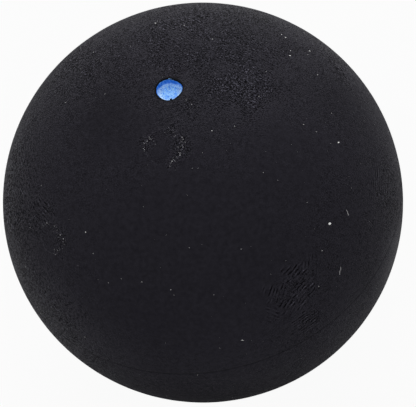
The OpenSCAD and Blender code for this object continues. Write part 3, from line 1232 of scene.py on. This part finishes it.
# Stray fibres. Three short bits of white lint that cling to the grain, thinner than a hair. Each
# lies along the surface on a line of its own, at places measured in the photograph.
FIBRES_PX = [
    [(346.8, 210.0), (348.2, 212.8), (349.2, 215.6)],
    [(341.3, 267.2), (341.0, 269.8), (340.2, 272.2), (340.0, 274.8)],
    [(241.0, 340.7), (244.2, 340.8)],
]
FIBRE_THICKNESS = 0.000022
FIBRE_LIFT = 0.00001
FIBRE_SIDES = 8


def fibre_tree():
    """Thin round threads along lines on the ball."""
    inputs = {
        "Lines": (MESH, None),
        "Thickness": (NUMBER, FIBRE_THICKNESS),
        "Lift": (NUMBER, FIBRE_LIFT),
        "Material": (MATERIAL, None),
    }
    tree, given, made = new_group("threads_on_ball", "GeometryNodeTree", inputs, {"Skin": MESH})
    line = put(tree, "GeometryNodeMeshToCurve", {"Mesh": given["Lines"]}).outputs[0]
    line = put(tree, "GeometryNodeCurveSplineType", {"Curve": line}, spline_type="CATMULL_ROM").outputs[0]
    feeds = {"Curve": line, "Length": given["Thickness"]}
    line = put(tree, "GeometryNodeResampleCurve", feeds, mode="LENGTH").outputs[0]
    line = settled(tree, line)
    place = put(tree, "GeometryNodeInputPosition").outputs[0]
    lift = vectors(tree, "SCALE", vectors(tree, "NORMALIZE", place), scale=given["Lift"])
    line = put(tree, "GeometryNodeSetPosition", {"Geometry": line, "Offset": lift}).outputs[0]
    radius = maths(tree, "DIVIDE", given["Thickness"], 2.0)
    feeds = {"Resolution": FIBRE_SIDES, "Radius": radius}
    ring = put(tree, "GeometryNodeCurvePrimitiveCircle", feeds).outputs[0]
    feeds = {"Curve": line, "Profile Curve": ring, "Fill Caps": True}
    skin = put(tree, "GeometryNodeCurveToMesh", feeds).outputs[0]
    finished(tree, skin, given["Material"], made)
    return tree


threads_on_ball = fibre_tree()
fibre_points, fibre_edges = chained(FIBRES_PX)
grown("stray_fibres", fibre_points, fibre_edges, threads_on_ball, material=chalk_dust)


# Studio. A pale floor under the ball, an even white surround, and one broad soft lamp behind and
# above, square to the line of sight. To the camera the floor and the surround look white, which
# adds no light to the ball apart from what its gloss mirrors.
FLOOR_HALF = 2.0
FLOOR_COLOUR = (0.50, 0.50, 0.50, 1)
SURROUND_LEVEL = 0.72
LAMP_DISTANCE = 0.8
LAMP_SIZE = 0.6
LAMP_LEVEL = 0.62
FLOOR_LIFT_SEEN = 0.94
FLOOR_LIFT_MIRRORED = 0.06
WHITE = (1, 1, 1, 1)


def ray_kinds(tree):
    """Whether a ray comes from the camera, and whether it was mirrored or let through."""
    path = put(tree, "ShaderNodeLightPath").outputs
    mirrored = maths(tree, "MAXIMUM", path["Is Glossy Ray"], path["Is Transmission Ray"])
    return path["Is Camera Ray"], mirrored


floor_mesh = bpy.data.meshes.new("floor")
corners = [(-1, -1), (1, -1), (1, 1), (-1, 1)]
corners = [(FLOOR_HALF * x, FLOOR_HALF * y, cad_low.z) for x, y in corners]
floor_mesh.from_pydata(corners, [], [(0, 1, 2, 3)])
floor = bpy.data.objects.new("floor", floor_mesh)
bpy.context.scene.collection.objects.link(floor)
floor_material = bpy.data.materials.new("pale_floor")
floor_material.use_nodes = True
tree = floor_material.node_tree
tree.nodes.clear()
diffuse = put(tree, "ShaderNodeBsdfDiffuse", {"Color": FLOOR_COLOUR})
glow = put(tree, "ShaderNodeEmission", {"Color": WHITE, "Strength": 1.0})
seen, mirrored = ray_kinds(tree)
lift = maths(tree, "MULTIPLY", seen, FLOOR_LIFT_SEEN)
lift = maths(tree, "MULTIPLY_ADD", mirrored, FLOOR_LIFT_MIRRORED, lift)
mix = put(tree, "ShaderNodeMixShader", {0: lift, 1: diffuse.outputs[0], 2: glow.outputs[0]})
put(tree, "ShaderNodeOutputMaterial", {"Surface": mix.outputs[0]})
floor_mesh.materials.append(floor_material)

world = bpy.data.worlds.new("white_surround")
world.use_nodes = True
bpy.context.scene.world = world
tree = world.node_tree
tree.nodes.clear()
seen, mirrored = ray_kinds(tree)
shown = maths(tree, "MAXIMUM", seen, mirrored)
level = maths(tree, "MULTIPLY_ADD", shown, 1.0 - SURROUND_LEVEL, SURROUND_LEVEL)
background = put(tree, "ShaderNodeBackground", {"Color": WHITE, "Strength": level})
put(tree, "ShaderNodeOutputWorld", {"Surface": background.outputs[0]})

lamp_data = bpy.data.lights.new("soft_lamp", "AREA")
lamp_data.shape = "DISK"
lamp_data.size = LAMP_SIZE
lamp_data.energy = LAMP_LEVEL * math.pi**2 * LAMP_DISTANCE**2
lamp = bpy.data.objects.new("soft_lamp", lamp_data)
lamp.location = LAMP_DISTANCE * camera_up
lamp.rotation_mode = "QUATERNION"
lamp.rotation_quaternion = camera_up.to_track_quat("Z", "Y")
bpy.context.scene.collection.objects.link(lamp)

bpy.context.scene.view_settings.view_transform = "Standard"
